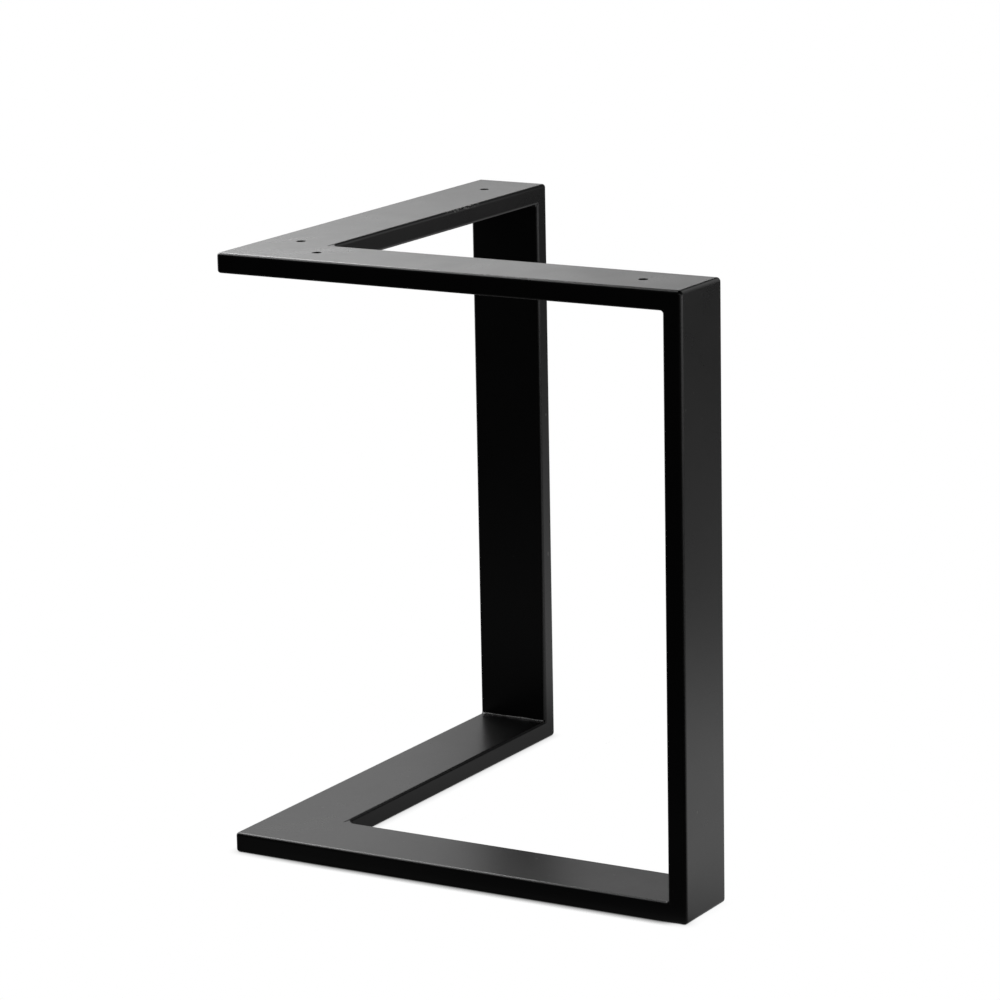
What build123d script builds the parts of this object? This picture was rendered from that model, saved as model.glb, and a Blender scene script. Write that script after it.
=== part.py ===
from build123d import *
from math import cos, radians, sin
import os

os.makedirs("parts", exist_ok=True)

# Driving sizes, millimetres and degrees
frame_height = 450.0
arm_length = 377.0
v_angle = 90.0
tube_width = 60.0
tube_depth = 15.0
tube_wall = 1.5
tube_radius = 2.5
bore_radius_least = 0.3
dress_extra = 0.5
tip_extra = 0.5
weld_leg = 2.5
weld_throat_share = 0.5
screw_diameter = 7.0
apex_screw_reach = 67.0
end_screw_setback = 45.0

# Derived sizes
half_v = radians(v_angle / 2)
half_corner = radians(45)
dress_radius = tube_radius + dress_extra
tip_radius = tube_radius + tip_extra
bore_radius = max(tube_radius - tube_wall, bore_radius_least)
weld_throat = weld_leg * weld_throat_share
tip_x = tip_radius / sin(half_v) - tip_radius
end_x = (arm_length - tube_radius) * cos(half_v) + (tube_width - tube_radius) * sin(half_v) + tube_radius
centre_x = (tip_x + end_x) / 2

# Directions of the left side: along the arm, in across the tube, up
along = Vector(cos(half_v), sin(half_v), 0)
inward = Vector(sin(half_v), -cos(half_v), 0)
up = Vector(0, 0, 1)
tip = Vector(-centre_x, 0, 0)


def spot(run, across, height):
    """Point on the left side, measured along the arm from the tip, in from the outer edge, and up."""
    return tip + along * run + inward * across + up * height


def edge_at(run, across, height):
    """Edge of the piece in hand that passes through a spot."""
    return edges().sort_by_distance(spot(run, across, height))[0]


def plate(corners, base, thickness):
    """Straight-sided block on a plan outline, before any edge is rounded."""
    with BuildSketch(Plane.XY.offset(base)) as outline:
        with BuildLine():
            Polyline(*[(corner.X, corner.Y) for corner in corners], close=True)
        make_face()
    extrude(outline.sketch, amount=thickness)


def bore(plane, length):
    """Hollow a tube out along the plane's normal, leaving its wall."""
    with BuildSketch(plane) as section:
        RectangleRounded(tube_width - 2 * tube_wall, tube_depth - 2 * tube_wall, bore_radius)
    extrude(section.sketch, amount=length, mode=Mode.SUBTRACT)


def bead_section(plane, half_angle):
    """Concave weld bead in a corner that opens along the plane's X."""
    leg_x = weld_leg * cos(half_angle)
    leg_y = weld_leg * sin(half_angle)
    with BuildSketch(plane) as section:
        with BuildLine():
            Polyline((leg_x, -leg_y), (0, 0), (leg_x, leg_y))
            ThreePointArc((leg_x, leg_y), (weld_throat, 0), (leg_x, -leg_y))
        make_face()
    return section.sketch


# Mitre planes of the left side, each facing its arm
top_mitre = Plane(spot(arm_length, 0, frame_height), x_dir=inward, z_dir=up - along)
bottom_mitre = Plane(spot(arm_length, 0, 0), x_dir=inward, z_dir=-up - along)

# Tube centre lines of the left side
arm_run = arm_length + 2 * tube_depth
top_line = Plane(spot(-tube_depth, tube_width / 2, frame_height - tube_depth / 2), x_dir=-inward, z_dir=along)
bottom_line = Plane(spot(-tube_depth, tube_width / 2, tube_depth / 2), x_dir=-inward, z_dir=along)
upright_line = Plane(spot(arm_length - tube_depth / 2, tube_width / 2, 0), x_dir=inward, z_dir=up)

# Plan corners of the left arm, which reaches over the bisector to the outer edge of the right one
across_tip = tube_width / sin(2 * half_v)
arm_plan = [
    tip,
    spot(arm_length, 0, 0),
    spot(arm_length, tube_width, 0),
    tip + Vector(cos(half_v), -sin(half_v), 0) * across_tip,
]


def arm(outer, inner, mitre, line):
    """Left arm between its outer and inner face heights, ground round at the tip and the outer corner."""
    middle = arm_length / 2
    plate(arm_plan, min(outer, inner), tube_depth)
    fillet(edge_at(0, 0, (outer + inner) / 2), tip_radius)
    fillet(edge_at(arm_length, tube_width / 2, outer), dress_radius)
    fillet([edge_at(middle, 0, outer), edge_at(middle, tube_width, outer)], tube_radius)
    split(bisect_by=mitre, keep=Keep.TOP)
    fillet([edge_at(middle, 0, inner), edge_at(middle, tube_width, inner)], tube_radius)
    split(bisect_by=Plane.XZ, keep=Keep.BOTTOM)
    bore(line, arm_run)


# Top arm with its two screw holes
with BuildPart() as top_arm_left:
    arm(frame_height, frame_height - tube_depth, top_mitre, top_line)
    with BuildSketch(Plane(spot(0, tube_width / 2, frame_height), x_dir=along, z_dir=up)):
        with Locations((apex_screw_reach, 0), (arm_length - end_screw_setback, 0)):
            Circle(screw_diameter / 2)
    extrude(amount=-tube_depth, mode=Mode.SUBTRACT)
top_arm_left.part.label = "top_arm_left"

# Bottom arm, plain
with BuildPart() as bottom_arm_left:
    arm(0, tube_depth, bottom_mitre, bottom_line)
bottom_arm_left.part.label = "bottom_arm_left"

# Upright, mitred at both ends
middle_height = frame_height / 2
inner_run = arm_length - tube_depth
upright_plan = [
    spot(inner_run, 0, 0),
    spot(arm_length, 0, 0),
    spot(arm_length, tube_width, 0),
    spot(inner_run, tube_width, 0),
]
with BuildPart() as upright_left:
    plate(upright_plan, 0, frame_height)
    fillet([edge_at(arm_length, tube_width / 2, end) for end in (0, frame_height)], dress_radius)
    fillet([edge_at(arm_length, side, middle_height) for side in (0, tube_width)], tube_radius)
    split(bisect_by=top_mitre, keep=Keep.BOTTOM)
    split(bisect_by=bottom_mitre, keep=Keep.BOTTOM)
    fillet([edge_at(inner_run, side, middle_height) for side in (0, tube_width)], tube_radius)
    bore(upright_line, frame_height)
upright_left.part.label = "upright_left"

# Weld beads in the inner corners between arm and upright
bead_length = tube_width - 2 * tube_radius
top_inside = Plane(spot(inner_run, tube_radius, frame_height - tube_depth), x_dir=-along - up, z_dir=inward)
bottom_inside = Plane(spot(inner_run, tube_radius, tube_depth), x_dir=up - along, z_dir=inward)

with BuildPart() as weld_top_left:
    extrude(bead_section(top_inside, half_corner), amount=bead_length)
weld_top_left.part.label = "weld_top_left"

with BuildPart() as weld_bottom_left:
    extrude(bead_section(bottom_inside, half_corner), amount=bead_length)
weld_bottom_left.part.label = "weld_bottom_left"

# Weld beads in the inner corner of each V
apex_bead_length = tube_depth - 2 * tube_radius
apex_inside = tip + Vector(tube_width / sin(half_v), 0, 0)
top_apex = Plane(apex_inside + up * (frame_height - tube_depth + tube_radius))
bottom_apex = Plane(apex_inside + up * tube_radius)

with BuildPart() as weld_top_apex:
    extrude(bead_section(top_apex, half_v), amount=apex_bead_length)
weld_top_apex.part.label = "weld_top_apex"

with BuildPart() as weld_bottom_apex:
    extrude(bead_section(bottom_apex, half_v), amount=apex_bead_length)
weld_bottom_apex.part.label = "weld_bottom_apex"

# The right side mirrors the left across the plane of symmetry
with BuildPart() as top_arm_right:
    mirror(top_arm_left.part, about=Plane.XZ)
top_arm_right.part.label = "top_arm_right"

with BuildPart() as bottom_arm_right:
    mirror(bottom_arm_left.part, about=Plane.XZ)
bottom_arm_right.part.label = "bottom_arm_right"

with BuildPart() as upright_right:
    mirror(upright_left.part, about=Plane.XZ)
upright_right.part.label = "upright_right"

with BuildPart() as weld_top_right:
    mirror(weld_top_left.part, about=Plane.XZ)
weld_top_right.part.label = "weld_top_right"

with BuildPart() as weld_bottom_right:
    mirror(weld_bottom_left.part, about=Plane.XZ)
weld_bottom_right.part.label = "weld_bottom_right"

export_step(top_arm_left.part, "parts/top_arm_left.step")
export_step(top_arm_right.part, "parts/top_arm_right.step")
export_step(bottom_arm_left.part, "parts/bottom_arm_left.step")
export_step(bottom_arm_right.part, "parts/bottom_arm_right.step")
export_step(upright_left.part, "parts/upright_left.step")
export_step(upright_right.part, "parts/upright_right.step")
export_step(weld_top_left.part, "parts/weld_top_left.step")
export_step(weld_top_right.part, "parts/weld_top_right.step")
export_step(weld_bottom_left.part, "parts/weld_bottom_left.step")
export_step(weld_bottom_right.part, "parts/weld_bottom_right.step")
export_step(weld_top_apex.part, "parts/weld_top_apex.step")
export_step(weld_bottom_apex.part, "parts/weld_bottom_apex.step")
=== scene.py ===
"""Coffee table leg: a V-shaped frame of welded flat steel tube with a satin black coat."""

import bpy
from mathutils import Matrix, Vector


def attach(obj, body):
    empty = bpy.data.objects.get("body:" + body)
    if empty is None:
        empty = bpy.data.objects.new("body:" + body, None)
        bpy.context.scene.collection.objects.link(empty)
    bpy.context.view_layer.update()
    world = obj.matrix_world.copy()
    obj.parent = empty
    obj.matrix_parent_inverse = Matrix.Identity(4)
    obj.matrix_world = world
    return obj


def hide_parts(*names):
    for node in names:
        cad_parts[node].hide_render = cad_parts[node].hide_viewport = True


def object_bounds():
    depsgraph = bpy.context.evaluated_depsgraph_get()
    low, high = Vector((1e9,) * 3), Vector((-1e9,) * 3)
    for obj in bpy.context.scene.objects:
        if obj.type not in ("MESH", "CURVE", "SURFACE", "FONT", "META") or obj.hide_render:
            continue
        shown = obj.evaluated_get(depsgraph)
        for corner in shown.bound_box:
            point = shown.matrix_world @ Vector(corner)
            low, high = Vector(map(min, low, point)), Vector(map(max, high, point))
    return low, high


bl_info = {
    "name": "V-Frame Coffee Table Leg",
    "version": (1, 0, 0),
    "blender": (4, 5, 0),
    "location": "View3D > Sidebar > Table Leg",
    "description": "Dresses a welded tube table leg with its coat, weld beads and studio stage",
    "category": "Object",
}

import math
import random

import bpy
from bpy.props import FloatProperty, FloatVectorProperty, IntProperty, PointerProperty
from mathutils import Matrix, Quaternion, Vector

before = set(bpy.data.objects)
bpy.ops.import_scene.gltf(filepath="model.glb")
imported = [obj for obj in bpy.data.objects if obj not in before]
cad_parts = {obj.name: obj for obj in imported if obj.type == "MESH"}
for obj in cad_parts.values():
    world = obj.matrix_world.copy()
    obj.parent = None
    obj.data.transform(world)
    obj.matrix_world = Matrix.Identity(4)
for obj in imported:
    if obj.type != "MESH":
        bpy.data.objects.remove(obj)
cad_low, cad_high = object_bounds()

COAT_NAME = "powder_coat"
UP = Vector((0, 0, 1))
SIDES = (("left", 1), ("right", -1))

# Colour sockets of a Mix node
MIX_A, MIX_B, MIX_RESULT = 6, 7, 2

# Middle level of a noise, and the levels between which the marks on the coat fade in
NOISE_MIDDLE = 0.5
STROKES = (0.50, 0.72)
CHIPS = (0.56, 0.64)
SPECKS = (0.87, 0.90)

# How much of the floor's dim painted glow is lost far ahead of the leg, and to the right
LOST_AHEAD = 0.8
LOST_RIGHT = 0.55

# Painted glow of the floor in reflections right of the leg, in place of a lit floor, as places along X in
# metres and levels
RIGHT_FIELD = (
    (-0.20, 0.06),
    (0.05, 0.24),
    (0.22, 0.72),
    (0.50, 0.74),
    (0.90, 0.26),
    (1.20, 0.03),
    (1.90, 0.16),
    (2.60, 1.50),
)
# The same painted glow left of the leg
LEFT_FIELD = (
    (-0.20, 0.06),
    (0.05, 0.22),
    (0.18, 0.22),
    (0.36, 0.60),
    (0.60, 0.54),
    (1.00, 0.40),
    (1.50, 0.18),
    (1.80, 0.07),
    (2.60, 0.03),
)

# Lit panels of the wall behind the leg: name, middle along X, middle height, width, height, level
BACK_WALL = (
    ("left_wall", -0.850, 0.30, 2.30, 0.60, 0.72),
    ("middle_wall", 0.375, 0.30, 0.15, 0.60, 0.50),
    ("right_wall", 0.625, 0.30, 0.35, 0.60, 0.47),
    ("upper_wall", -0.900, 0.80, 2.20, 0.40, 1.12),
    ("upper_right_wall", 0.320, 0.82, 0.26, 0.36, 1.48),
    ("upper_end_wall", 0.550, 0.82, 0.20, 0.36, 1.15),
    ("key_softbox", -0.565, 1.40, 1.47, 0.80, 7.60),
)
# Other lamps: name, place, target, width, height, level
TURNED_LAMPS = (
    ("top_softbox", (-0.60, 0.25, 1.35), (0.00, 0.00, 0.30), 0.60, 0.60, 3.40),
    ("right_card", (1.60, 1.00, 1.40), (0.00, 0.00, 0.40), 1.40, 1.40, 0.10),
    ("near_card", (0.74, 0.11, 0.66), (0.14, -0.24, 0.45), 0.45, 0.56, 0.52),
    ("front_wall", (-0.60, -2.20, 0.75), (-0.60, 0.00, 0.75), 2.60, 0.70, 0.60),
)


class FrameSizes(bpy.types.PropertyGroup):
    """Sizes of the welded frame that the beads and the coat follow."""

    height: FloatProperty(
        name="Height",
        description="Floor to the upper face of the top arms",
        default=cad_high.z,
        unit="LENGTH",
    )
    arm_length: FloatProperty(
        name="Arm length",
        description="Outer edge of an arm from the sharp tip to its end",
        default=0.377,
        unit="LENGTH",
    )
    v_angle: FloatProperty(
        name="V angle",
        description="Angle between the two arms",
        default=math.radians(90),
        subtype="ANGLE",
        unit="ROTATION",
    )
    tube_width: FloatProperty(
        name="Tube width",
        description="Wide side of the flat tube",
        default=0.060,
        unit="LENGTH",
    )
    tube_depth: FloatProperty(
        name="Tube depth",
        description="Narrow side of the flat tube",
        default=0.015,
        unit="LENGTH",
    )
    tube_radius: FloatProperty(
        name="Tube corner",
        description="Outer corner radius of the tube",
        default=0.0025,
        unit="LENGTH",
    )
    tip_radius: FloatProperty(
        name="Tip radius",
        description="Radius to which the tip of each V is ground",
        default=0.003,
        unit="LENGTH",
    )


class BeadSizes(bpy.types.PropertyGroup):
    """Sizes of the weld beads in the inner corners."""

    top_leg: FloatProperty(
        name="Top leg",
        description="How far a top corner bead reaches along each tube",
        default=0.0017,
        unit="LENGTH",
    )
    bottom_leg: FloatProperty(
        name="Bottom leg",
        description="How far a bottom corner bead reaches along each tube",
        default=0.0015,
        unit="LENGTH",
    )
    apex_leg: FloatProperty(
        name="Apex leg",
        description="How far an apex bead reaches along each arm",
        default=0.0060,
        unit="LENGTH",
    )
    throat_share: FloatProperty(
        name="Throat",
        description="Root to the middle of the hollow face, as a share of the leg",
        default=0.5,
        subtype="FACTOR",
    )
    end_gap: FloatProperty(
        name="End gap",
        description="How far a bead stops short of the tube's sides",
        default=0.0003,
        unit="LENGTH",
    )
    start_swell: FloatProperty(
        name="Start swell",
        description="How much thicker a bead is at its ends",
        default=0.45,
        subtype="FACTOR",
    )
    start_reach: FloatProperty(
        name="Start reach",
        description="How far the thick ends go in",
        default=0.0022,
        unit="LENGTH",
    )
    ripple_pitch: FloatProperty(
        name="Ripple pitch",
        description="Distance between two ripples",
        default=0.0032,
        unit="LENGTH",
    )
    ripple_steps: IntProperty(
        name="Ripple steps",
        description="Sections that make up one ripple",
        default=6,
        min=2,
    )
    ripple_depth: FloatProperty(
        name="Ripple depth",
        description="Share of the leg by which a ripple rises and falls",
        default=0.06,
        subtype="FACTOR",
    )
    wander: FloatProperty(
        name="Wander",
        description="How unevenly the bead was laid",
        default=0.14,
        subtype="FACTOR",
    )
    wander_kept: FloatProperty(
        name="Wander kept",
        description="Share of the wander that carries on to the next section",
        default=0.9,
        subtype="FACTOR",
    )
    arc_steps: IntProperty(
        name="Arc steps",
        description="Edges across the hollow face of a bead",
        default=10,
        min=3,
    )
    smooth_angle: FloatProperty(
        name="Smooth angle",
        description="Edges flatter than this are shaded smooth",
        default=math.radians(50),
        subtype="ANGLE",
        unit="ROTATION",
    )


class CoatLook(bpy.types.PropertyGroup):
    """Colour and gloss of the powder coat, with pattern scales in cells per metre."""

    colour: FloatVectorProperty(
        name="Colour",
        description="Base colour of the coat",
        default=(0.0020, 0.0020, 0.0021),
        subtype="COLOR",
        min=0,
        max=1,
    )
    dust_colour: FloatVectorProperty(
        name="Dust colour",
        description="Colour of dust and of scuffed coat",
        default=(0.60, 0.60, 0.58),
        subtype="COLOR",
        min=0,
        max=1,
    )
    ior: FloatProperty(
        name="Index",
        description="Refractive index of the coat",
        default=1.5,
    )
    roughness: FloatProperty(
        name="Roughness",
        description="Mean roughness of the satin coat",
        default=0.29,
        subtype="FACTOR",
    )
    uneven: FloatProperty(
        name="Uneven",
        description="How much rougher the coat lies on the right bottom arm",
        default=0.06,
        subtype="FACTOR",
    )
    smear: FloatProperty(
        name="Smear",
        description="How much smoother the coat lies on the ground strokes",
        default=0.04,
        subtype="FACTOR",
    )
    stroke_scale: FloatVectorProperty(
        name="Stroke scale",
        description="Scale of the ground strokes along X, Y and Z",
        default=(22.0, 55.0, 30.0),
        subtype="XYZ",
    )
    cloud_scale: FloatProperty(
        name="Cloud scale",
        description="Scale of the broad changes in gloss",
        default=35.0,
    )
    cloud_depth: FloatProperty(
        name="Cloud depth",
        description="How much the roughness changes from cloud to cloud",
        default=0.06,
        subtype="FACTOR",
    )
    grain_scale: FloatProperty(
        name="Grain scale",
        description="Scale of the fine powder grain",
        default=900.0,
    )
    grain_depth: FloatProperty(
        name="Grain depth",
        description="How much the roughness changes from grain to grain",
        default=0.05,
        subtype="FACTOR",
    )
    grain_rise: FloatProperty(
        name="Grain rise",
        description="Height of the grain as a share of the orange peel's",
        default=0.5,
        subtype="FACTOR",
    )
    peel_scale: FloatProperty(
        name="Peel scale",
        description="Scale of the orange peel",
        default=1400.0,
    )
    peel_height: FloatProperty(
        name="Peel height",
        description="Height of the orange peel",
        default=0.00005,
        unit="LENGTH",
    )
    peel_strength: FloatProperty(
        name="Peel strength",
        description="How strongly the orange peel shows",
        default=0.12,
        subtype="FACTOR",
    )
    scuff_start: FloatProperty(
        name="Scuff start",
        description="Where the scuffed edge starts, along the left top arm from the middle of the box",
        default=0.110,
        unit="LENGTH",
    )
    scuff_end: FloatProperty(
        name="Scuff end",
        description="Where the scuffed edge ends",
        default=0.168,
        unit="LENGTH",
    )
    scuff_run_in: FloatProperty(
        name="Scuff run-in",
        description="Length over which the scuffed edge comes in",
        default=0.015,
        unit="LENGTH",
    )
    scuff_run_out: FloatProperty(
        name="Scuff run-out",
        description="Length over which the scuffed edge goes out",
        default=0.013,
        unit="LENGTH",
    )
    scuff_inset: FloatProperty(
        name="Scuff inset",
        description="How far in from the tube's side the scuff lies",
        default=0.0012,
        unit="LENGTH",
    )
    scuff_drop: FloatProperty(
        name="Scuff drop",
        description="How far down from the upper face the scuff reaches",
        default=0.003,
        unit="LENGTH",
    )
    scuff_scale: FloatProperty(
        name="Scuff scale",
        description="Scale of the chips along the scuffed edge",
        default=620.0,
    )
    dust_scale: FloatProperty(
        name="Dust scale",
        description="Scale of the specks of dust",
        default=230.0,
    )
    dust_depth: FloatProperty(
        name="Dust depth",
        description="How much of the dust's colour a speck shows",
        default=0.12,
        subtype="FACTOR",
    )
    worn_roughness: FloatProperty(
        name="Worn roughness",
        description="How much rougher dust and scuffs are",
        default=0.3,
        subtype="FACTOR",
    )


class StageLook(bpy.types.PropertyGroup):
    """Floor, lamps and camera."""

    floor_size: FloatProperty(
        name="Floor size",
        description="Edge of the square floor",
        default=24.0,
        unit="LENGTH",
    )
    # Level of the floor's painted glow in reflections, outside the paler painted fields
    floor_shade: FloatProperty(
        name="Floor shade",
        description="Tone of the floor in reflections outside the paler fields",
        default=0.07,
        subtype="FACTOR",
    )
    # Level of the painted pool of light in front of the leg, which the floor emits and shows only in
    # reflections
    pool_level: FloatProperty(
        name="Pool level",
        description="Tone of the pale pool in front of the leg in reflections",
        default=1.1,
    )
    contact_reach: FloatProperty(
        name="Contact reach",
        description="How far the contact shadow spreads",
        default=0.0075,
        unit="LENGTH",
    )
    contact_depth: FloatProperty(
        name="Contact depth",
        description="How dark the contact shadow is on the camera's side",
        default=1.6,
    )
    contact_behind: FloatProperty(
        name="Contact behind",
        description="How dark the contact shadow is on the lit side",
        default=0.3,
    )
    contact_end: FloatProperty(
        name="Contact end",
        description="Share of the contact shadow that is left at the right upright",
        default=0.2,
        subtype="FACTOR",
    )
    studio_level: FloatProperty(
        name="Studio level",
        description="Tone of the dark studio in reflections",
        default=0.015,
        subtype="FACTOR",
    )
    wall_distance: FloatProperty(
        name="Wall distance",
        description="How far the wall of lit panels stands behind the leg",
        default=1.2,
        unit="LENGTH",
    )
    camera_place: FloatVectorProperty(
        name="Camera place",
        description="Where the camera stands",
        default=(-0.731842, -2.982754, 0.963532),
        subtype="XYZ",
        unit="LENGTH",
    )
    camera_aim: FloatVectorProperty(
        name="Camera aim",
        description="Point in the middle of the picture",
        default=(0.053114, 0.0, 0.251716),
        subtype="XYZ",
        unit="LENGTH",
    )
    camera_roll: FloatProperty(
        name="Camera roll",
        description="Turn of the camera about its view",
        default=math.radians(-1.0684),
        subtype="ANGLE",
        unit="ROTATION",
    )
    lens: FloatProperty(
        name="Lens",
        description="Focal length on a sensor 36 mm wide",
        default=153.95,
        unit="CAMERA",
    )


class Term:
    """A socket that takes part in sums as a number would."""

    def __init__(self, look, socket):
        self.look = look
        self.socket = socket

    def calc(self, operation, *others):
        return self.look.node("ShaderNodeMath", {"operation": operation}, dict(enumerate((self, *others))))

    def __add__(self, other):
        return self.calc("ADD", other)

    __radd__ = __add__

    def __mul__(self, other):
        return self.calc("MULTIPLY", other)

    __rmul__ = __mul__

    def __neg__(self):
        return self * -1

    def __sub__(self, other):
        return self.calc("SUBTRACT", other)

    def __rsub__(self, other):
        return self.look.node("ShaderNodeMath", {"operation": "SUBTRACT"}, {0: other, 1: self})

    def __truediv__(self, other):
        return self.calc("DIVIDE", other)

    def __pow__(self, other):
        return self.calc("POWER", other)

    def __abs__(self):
        return self.calc("ABSOLUTE")

    def most(self, other):
        return self.calc("MAXIMUM", other)

    def bands(self, stops):
        """Level that runs straight from stop to stop, each a place and its level."""
        first, last = stops[0][0], stops[-1][0]
        share = (self - first) / (last - first)
        ramp = [((place - first) / (last - first), level) for place, level in stops]
        return self.look.node("ShaderNodeValToRGB", {"stops": ramp}, {"Fac": share})

    def fade(self, start, end):
        """0 at start, 1 at end, smooth between."""
        return self.look.node(
            "ShaderNodeMapRange",
            {"interpolation_type": "SMOOTHSTEP"},
            {"Value": self, "From Min": start, "From Max": end},
        )


class Look:
    """A node tree that is written as expressions."""

    def __init__(self, owner):
        owner.use_nodes = True
        self.tree = owner.node_tree
        self.tree.nodes.clear()

    def node(self, kind, settings=None, inputs=None, output=0):
        """Add a node, set it up, feed its sockets and hand back one of its outputs."""
        made = self.tree.nodes.new(kind)
        for key, value in (settings or {}).items():
            if key == "stops":
                self.set_stops(made.color_ramp, value)
            else:
                setattr(made, key, value)
        for key, value in (inputs or {}).items():
            if isinstance(value, Term):
                self.tree.links.new(value.socket, made.inputs[key])
            else:
                made.inputs[key].default_value = value
        return Term(self, made.outputs[output]) if made.outputs else None

    @staticmethod
    def set_stops(ramp, stops):
        while len(ramp.elements) < len(stops):
            ramp.elements.new(1.0)
        for element, (place, level) in zip(ramp.elements, stops):
            element.position = place
            element.color = (level, level, level, 1)

    def noise(self, place, scale, detail, roughness=0.5):
        return self.node(
            "ShaderNodeTexNoise",
            {},
            {"Vector": place, "Scale": scale, "Detail": detail, "Roughness": roughness},
        )

    def object_place(self):
        """The point of the surface, and its X, Y and Z."""
        place = self.node("ShaderNodeTexCoord", output="Object")
        parts = self.node("ShaderNodeSeparateXYZ", {}, {"Vector": place})
        return place, *(Term(self, socket) for socket in parts.socket.node.outputs)


def sharp_tip(sizes):
    """X of the point where the arms' outer edges would meet, had the tip not been ground round."""
    return cad_low.x - sizes.tip_radius * (1 / math.sin(sizes.v_angle / 2) - 1)


def ground_seam(look, place, x, y):
    """1 on the strokes that the grinder left on either side of the mitre at the tip of each V."""
    coat = bpy.context.scene.leg_coat
    sizes = bpy.context.scene.leg_frame
    inner_corner = sharp_tip(sizes) + sizes.tube_width / math.sin(sizes.v_angle / 2)
    past_corner = x.fade(inner_corner - 0.004, inner_corner + 0.016)
    off_seam = abs(y).fade(0.030, 0.055)
    stretched = look.node("ShaderNodeMapping", {}, {"Vector": place, "Scale": coat.stroke_scale})
    strokes = look.noise(stretched, scale=1.0, detail=0.0).fade(*STROKES)
    return (1 - past_corner) * (1 - off_seam) * strokes


def scuffed_edge(look, place, x, y, z):
    """1 on the chips along a stretch of the left top arm's inner upper edge."""
    coat = bpy.context.scene.leg_coat
    sizes = bpy.context.scene.leg_frame
    half = sizes.v_angle / 2
    along = x * math.cos(half) + y * math.sin(half)
    across = x * math.sin(half) - y * math.cos(half)
    edge = sharp_tip(sizes) * math.sin(half) + sizes.tube_width - coat.scuff_inset
    off_edge = abs(across - edge).fade(0.0008, 0.0018)
    near_top = z.fade(sizes.height - coat.scuff_drop, sizes.height)
    started = along.fade(coat.scuff_start, coat.scuff_start + coat.scuff_run_in)
    ended = along.fade(coat.scuff_end - coat.scuff_run_out, coat.scuff_end)
    chips = look.noise(place, coat.scuff_scale, detail=1.0).fade(*CHIPS)
    return (1 - off_edge) * near_top * started * (1 - ended) * chips


def satin_coat():
    """Satin black powder coat: fine orange peel, ground seams, a scuffed edge and a little dust."""
    coat = bpy.context.scene.leg_coat
    material = bpy.data.materials.new(COAT_NAME)
    look = Look(material)
    place, x, y, z = look.object_place()
    cloud = look.noise(place, coat.cloud_scale, detail=3.0)
    grain = look.noise(place, coat.grain_scale, detail=2.0, roughness=0.6)
    peel = look.noise(place, coat.peel_scale, detail=1.0)
    specks = look.noise(place, coat.dust_scale, detail=0.0).fade(*SPECKS)
    worn = scuffed_edge(look, place, x, y, z).most(specks * coat.dust_depth)
    right_bottom_arm = (1 - z.fade(0.02, 0.06)) * (-y).fade(0.0, 0.10)
    roughness = (
        coat.roughness
        + (cloud - NOISE_MIDDLE) * coat.cloud_depth
        + (grain - NOISE_MIDDLE) * coat.grain_depth
        - ground_seam(look, place, x, y) * coat.smear
        + worn * coat.worn_roughness
        + right_bottom_arm * coat.uneven
    )
    colour = look.node(
        "ShaderNodeMix",
        {"data_type": "RGBA"},
        {"Factor": worn, MIX_A: (*coat.colour, 1), MIX_B: (*coat.dust_colour, 1)},
        MIX_RESULT,
    )
    relief = peel + grain * coat.grain_rise
    bump = look.node(
        "ShaderNodeBump",
        {},
        {"Strength": coat.peel_strength, "Distance": coat.peel_height, "Height": relief},
    )
    surface = look.node(
        "ShaderNodeBsdfPrincipled",
        {},
        {"Base Color": colour, "Roughness": roughness, "IOR": coat.ior, "Normal": bump},
    )
    look.node("ShaderNodeOutputMaterial", {}, {"Surface": surface})
    return material


def deselect():
    """Nothing is selected afterwards, so the next operator acts on its own piece alone."""
    if bpy.context.mode != "OBJECT":
        bpy.ops.object.mode_set(mode="OBJECT")
    bpy.ops.object.select_all(action="DESELECT")


def bead_section(name, leg, height):
    """Start a bead as one flat face, selected in edit mode: two legs from the origin and a hollow arc."""
    bead = bpy.context.scene.leg_bead
    throat = leg * bead.throat_share
    middle = (leg**2 - throat**2) / (2 * leg - 2 * math.sqrt(2) * throat)
    sweep = math.pi / 2 - 2 * math.atan2(middle - leg, middle)
    deselect()
    bpy.ops.mesh.primitive_plane_add(size=leg)
    piece = bpy.context.object
    piece.name = name
    bpy.ops.object.mode_set(mode="EDIT")
    bpy.ops.mesh.merge(type="CENTER")
    bpy.ops.transform.translate(value=(leg, 0, height))
    bpy.ops.mesh.spin(steps=bead.arc_steps, angle=sweep, center=(middle, middle, height), axis=UP)
    bpy.ops.mesh.extrude_region_move(TRANSFORM_OT_translate={"value": (0, -leg, 0)})
    bpy.ops.mesh.select_all(action="SELECT")
    bpy.ops.mesh.edge_face_add()
    return piece


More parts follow.
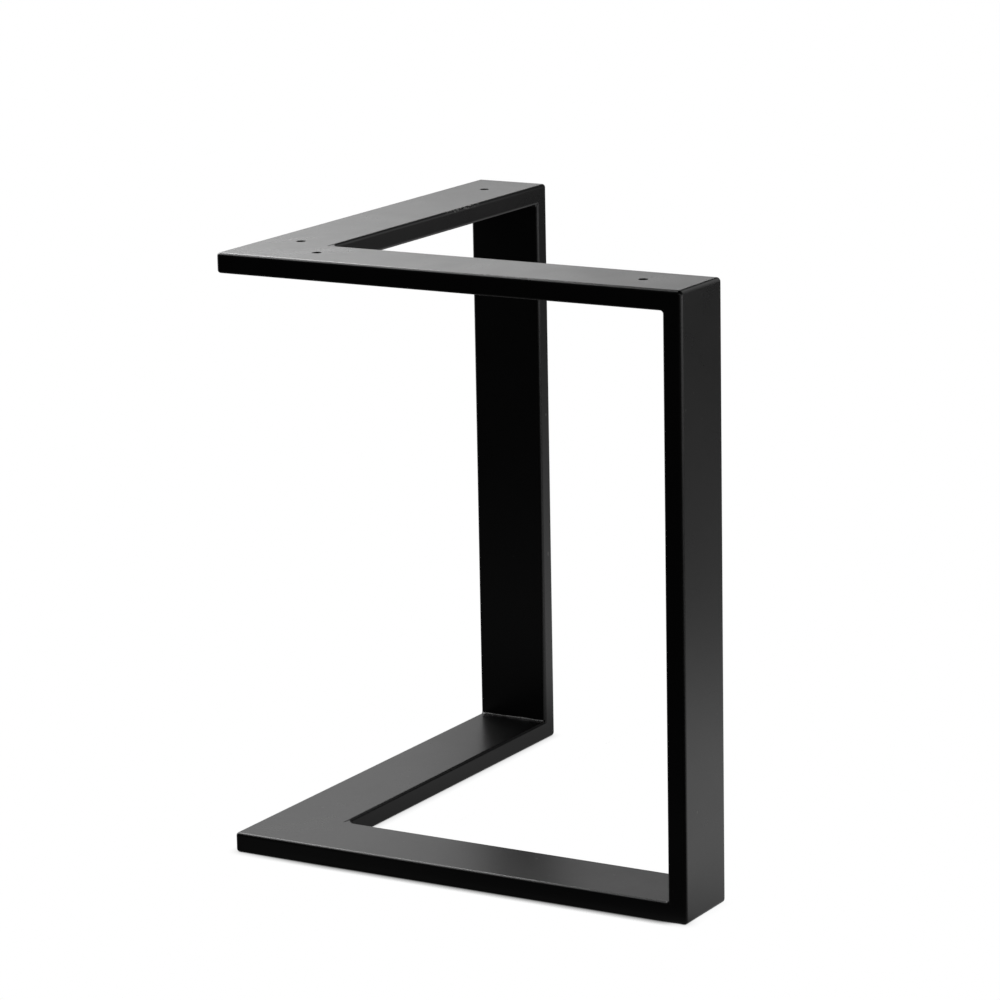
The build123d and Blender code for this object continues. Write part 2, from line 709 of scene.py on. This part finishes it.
def rippled_bead(name, leg, width, corner_radius):
    """Concave weld bead along Z about the origin, its legs along +X and +Y, rippled as it was laid.

    It runs over the whole width of the tubes, and sinks with their rounded sides at both ends.
    """
    bead = bpy.context.scene.leg_bead
    draw = random.Random(name)
    length = width - 2 * bead.end_gap
    half = length / 2
    piece = bead_section(name, leg, -half)
    stations = max(2, round(length / bead.ripple_pitch * bead.ripple_steps))
    step = length / stations
    size, sunk, wander = 1.0, 0.0, 0.0
    for station in range(stations + 1):
        place = station * step - half
        from_side = min(width / 2 - abs(place), corner_radius)
        sink = corner_radius - math.sqrt(corner_radius**2 - (corner_radius - from_side) ** 2)
        wander = bead.wander_kept * wander + draw.uniform(-1, 1) * bead.wander
        ripple = abs(math.sin(math.pi * place / bead.ripple_pitch)) - 0.5
        start = math.exp(-(((half - abs(place)) / bead.start_reach) ** 2))
        target = 1 + wander + bead.ripple_depth * ripple + bead.start_swell * start
        if station:
            move = (sunk - sink, sunk - sink, step)
            bpy.ops.mesh.extrude_region_move(TRANSFORM_OT_translate={"value": move})
        else:
            bpy.ops.transform.translate(value=(-sink, -sink, 0))
        growth = target / size
        bpy.ops.transform.resize(value=(growth, growth, 1), center_override=(-sink, -sink, place))
        size, sunk = target, sink
    bpy.ops.mesh.select_all(action="SELECT")
    bpy.ops.mesh.normals_make_consistent(inside=False)
    bpy.ops.object.mode_set(mode="OBJECT")
    bpy.ops.object.shade_smooth_by_angle(angle=bead.smooth_angle)
    return piece


class LEG_OT_coat(bpy.types.Operator):
    """Put the satin black coat on every part of the frame"""

    bl_idname = "leg.coat"
    bl_label = "Coat the Frame"

    def execute(self, context):
        coat = satin_coat()
        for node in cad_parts.values():
            node.data.materials.clear()
            node.data.materials.append(coat)
        return {"FINISHED"}


class LEG_OT_beads(bpy.types.Operator):
    """Lay a rippled weld bead in each inner corner of the frame"""

    bl_idname = "leg.beads"
    bl_label = "Lay the Weld Beads"

    def execute(self, context):
        sizes = context.scene.leg_frame
        bead = context.scene.leg_bead
        half = sizes.v_angle / 2
        tip = Vector((sharp_tip(sizes), 0, 0))
        apex = tip + Vector((sizes.tube_width / math.sin(half), 0, 0))
        arms = {side: Vector((math.cos(half), turn * math.sin(half), 0)) for side, turn in SIDES}
        inner_run = sizes.arm_length - sizes.tube_depth
        # Each V: name, height of its inner face, way to the other V, leg of its beads
        levels = (
            ("top", sizes.height - sizes.tube_depth, -UP, bead.top_leg),
            ("bottom", sizes.tube_depth, UP, bead.bottom_leg),
        )
        patterns = [rippled_bead(f"{level}_bead", leg, sizes.tube_width, sizes.tube_radius)
                    for level, _, _, leg in levels]
        apex_pattern = rippled_bead("apex_bead", bead.apex_leg, sizes.tube_depth, sizes.tube_radius)
        for (level, inner_height, away, _), pattern in zip(levels, patterns):
            for side, turn in SIDES:
                inward = Vector((math.sin(half), -turn * math.cos(half), 0))
                root = tip + arms[side] * inner_run + inward * (sizes.tube_width / 2) + UP * inner_height
                self.lay(context, pattern, f"weld_{level}_{side}", root, -arms[side], away)
            root = apex + UP * inner_height - away * (sizes.tube_depth / 2)
            self.lay(context, apex_pattern, f"weld_{level}_apex", root, arms["right"], arms["left"])
        for pattern in (*patterns, apex_pattern):
            bpy.data.objects.remove(pattern)
        return {"FINISHED"}

    def lay(self, context, pattern, node, root, first_leg, second_leg):
        """Copy a bead into its corner, where it stands for the node."""
        laid = pattern.copy()
        laid.data = pattern.data.copy()
        laid.name = f"{node}_bead"
        context.scene.collection.objects.link(laid)
        run = first_leg.cross(second_leg)
        turn = Matrix((first_leg, second_leg, run)).transposed().to_4x4()
        laid.matrix_world = Matrix.Translation(root) @ turn
        deselect()
        laid.select_set(True)
        context.view_layer.objects.active = laid
        bpy.ops.object.transform_apply(location=True, rotation=True, scale=True)
        laid.data.materials.append(bpy.data.materials[COAT_NAME])
        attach(laid, "root")
        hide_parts(node)


class LEG_OT_stage(bpy.types.Operator):
    """Set up the floor, the lamps and the camera"""

    bl_idname = "leg.stage"
    bl_label = "Set the Stage"

    def execute(self, context):
        self.floor(context)
        self.lamps(context)
        self.world(context)
        self.camera(context)
        context.scene.view_settings.view_transform = "Standard"
        return {"FINISHED"}

    def floor(self, context):
        """White to the camera, with a contact shadow under the leg, and in reflections a painted glow that is
        mostly dim.
        """
        deselect()
        bpy.ops.mesh.primitive_plane_add(size=context.scene.leg_stage.floor_size)
        floor = context.object
        floor.name = "floor"
        material = bpy.data.materials.new("white_floor")
        look = Look(material)
        seen = look.node("ShaderNodeLightPath", output="Is Camera Ray")
        _, x, y, _ = look.object_place()
        contact = self.contact(context, look, x, y)
        # Painted glow of the floor seen in reflections, darkened by the contact shadow
        painted_glow = look.node("ShaderNodeEmission", {}, {"Color": self.glow(context, x, y) * contact})
        white = look.node("ShaderNodeEmission", {}, {"Color": contact})
        mixed = look.node("ShaderNodeMixShader", {}, {0: seen, 1: painted_glow, 2: white})
        look.node("ShaderNodeOutputMaterial", {}, {"Surface": mixed})
        floor.data.materials.append(material)

    def contact(self, context, look, x, y):
        """Contact shadow, deep along the front of the right bottom arm and faint elsewhere."""
        stage = context.scene.leg_stage
        under_arm = (x + y).fade(-0.16, -0.13)
        past_tip = x.fade(-0.17, -0.09)
        at_end = (x - y).fade(0.345, 0.370)
        ahead = (1 - under_arm) * past_tip
        depth = stage.contact_behind + ahead * (stage.contact_depth - stage.contact_behind)
        left_over = 1 - at_end * (1 - stage.contact_end)
        open_sky = look.node(
            "ShaderNodeAmbientOcclusion", {"samples": 8}, {"Distance": stage.contact_reach}, "AO"
        )
        return open_sky ** (depth * left_over)

    def glow(self, context, x, y):
        """Level of the floor's painted glow in reflections: a dim sheet, paler painted fields beside the leg
        and a painted pool of light in front.
        """
        stage = context.scene.leg_stage
        behind_right_arm = (x + y).fade(-0.19, -0.11)
        behind_left_arm = (y - x).fade(0.10, 0.16) * (1 - x.fade(0.0, 0.2))
        to_left = y.fade(0.0, 0.2)
        field = x.bands(RIGHT_FIELD) * (1 - to_left) + x.bands(LEFT_FIELD) * to_left
        pool = (-y).fade(1.2, 1.5) * x.fade(0.5, 0.75)
        far_ahead = 1 - (x + y).fade(-0.7, -0.3)
        to_right = x.fade(-0.2, 0.05)
        sheet = stage.floor_shade * (1 - LOST_AHEAD * far_ahead) * (1 - LOST_RIGHT * to_right)
        return sheet + behind_right_arm * (1 - behind_left_arm) * field + stage.pool_level * pool

    def lamps(self, context):
        distance = context.scene.leg_stage.wall_distance
        for name, along, height, width, rise, level in BACK_WALL:
            self.softbox(context, name, (along, distance, height), (along, 0, height), width, rise, level)
        for lamp in TURNED_LAMPS:
            self.softbox(context, *lamp)

    def softbox(self, context, name, place, target, width, height, level):
        """Rectangular lamp whose surface shines at a level where 1 is white."""
        data = bpy.data.lights.new(name, "AREA")
        data.shape = "RECTANGLE"
        data.size = width
        data.size_y = height
        data.energy = level * math.pi * width * height
        lamp = bpy.data.objects.new(name, data)
        context.scene.collection.objects.link(lamp)
        lamp.location = place
        lamp.rotation_euler = (Vector(target) - Vector(place)).to_track_quat("-Z", "Y").to_euler()
        lamp.visible_camera = False

    def world(self, context):
        """White to the camera and dark in reflections, as the studio in front of the leg is."""
        world = bpy.data.worlds.new("studio")
        context.scene.world = world
        look = Look(world)
        seen = look.node("ShaderNodeLightPath", output="Is Camera Ray")
        level = context.scene.leg_stage.studio_level
        dim = look.node("ShaderNodeBackground", {}, {"Color": (1, 1, 1, 1), "Strength": level})
        white = look.node("ShaderNodeBackground", {}, {"Color": (1, 1, 1, 1), "Strength": 1.0})
        mixed = look.node("ShaderNodeMixShader", {}, {0: seen, 1: dim, 2: white})
        look.node("ShaderNodeOutputWorld", {}, {"Surface": mixed})

    def camera(self, context):
        stage = context.scene.leg_stage
        data = bpy.data.cameras.new("camera")
        data.lens = stage.lens
        data.sensor_width = 36.0
        data.sensor_fit = "HORIZONTAL"
        data.clip_start = 0.1
        data.clip_end = 60.0
        camera = bpy.data.objects.new("camera", data)
        context.scene.collection.objects.link(camera)
        view = (stage.camera_aim - stage.camera_place).to_track_quat("-Z", "Y")
        turn = (view @ Quaternion(UP, stage.camera_roll)).to_matrix().to_4x4()
        camera.matrix_world = Matrix.Translation(stage.camera_place) @ turn
        context.scene.camera = camera


class LEG_PT_panel(bpy.types.Panel):
    """Sizes and steps of the table leg"""

    bl_idname = "LEG_PT_panel"
    bl_label = "Table Leg"
    bl_space_type = "VIEW_3D"
    bl_region_type = "UI"
    bl_category = "Table Leg"

    def draw(self, context):
        column = self.layout.column()
        for group in GROUPS:
            settings = getattr(context.scene, group)
            for name in settings.__annotations__:
                column.prop(settings, name)
        for operator in (LEG_OT_coat, LEG_OT_beads, LEG_OT_stage):
            column.operator(operator.bl_idname)


GROUPS = {"leg_frame": FrameSizes, "leg_bead": BeadSizes, "leg_coat": CoatLook, "leg_stage": StageLook}
CLASSES = (*GROUPS.values(), LEG_OT_coat, LEG_OT_beads, LEG_OT_stage, LEG_PT_panel)


def register():
    for item in CLASSES:
        bpy.utils.register_class(item)
    for name, group in GROUPS.items():
        setattr(bpy.types.Scene, name, PointerProperty(type=group))


def unregister():
    for name in GROUPS:
        delattr(bpy.types.Scene, name)
    for item in reversed(CLASSES):
        bpy.utils.unregister_class(item)


def main():
    register()
    bpy.ops.leg.coat()
    bpy.ops.leg.beads()
    bpy.ops.leg.stage()


if __name__ == "__main__":
    main()
